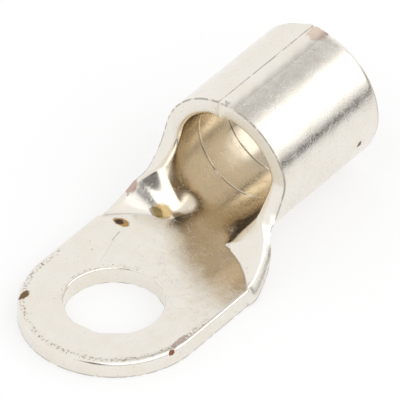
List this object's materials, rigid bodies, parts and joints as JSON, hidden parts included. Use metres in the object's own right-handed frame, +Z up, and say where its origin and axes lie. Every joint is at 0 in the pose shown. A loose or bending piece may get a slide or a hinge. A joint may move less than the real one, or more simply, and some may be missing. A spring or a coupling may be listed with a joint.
{
  "type": "ring terminal",
  "caption": "Ring terminal rolled from one sheet: a flat round-ended tongue with a stud hole, and a brazed wire barrel open at both ends.",
  "frame": {"origin": "centre of the stud hole on the tongue's underside", "axes": "+X from the stud hole along the wire barrel, +Z up through the stud hole, away from the surface that the tongue is bolted to"},
  "size_m": [0.0359, 0.0166, 0.0126],
  "materials": {
    "tin_plate": "tin-plated copper, softly polished, with fine handling scratches"
  },
  "bodies": {
    "root": {"ring_terminal": "tin_plate"}
  },
  "joints": []
}
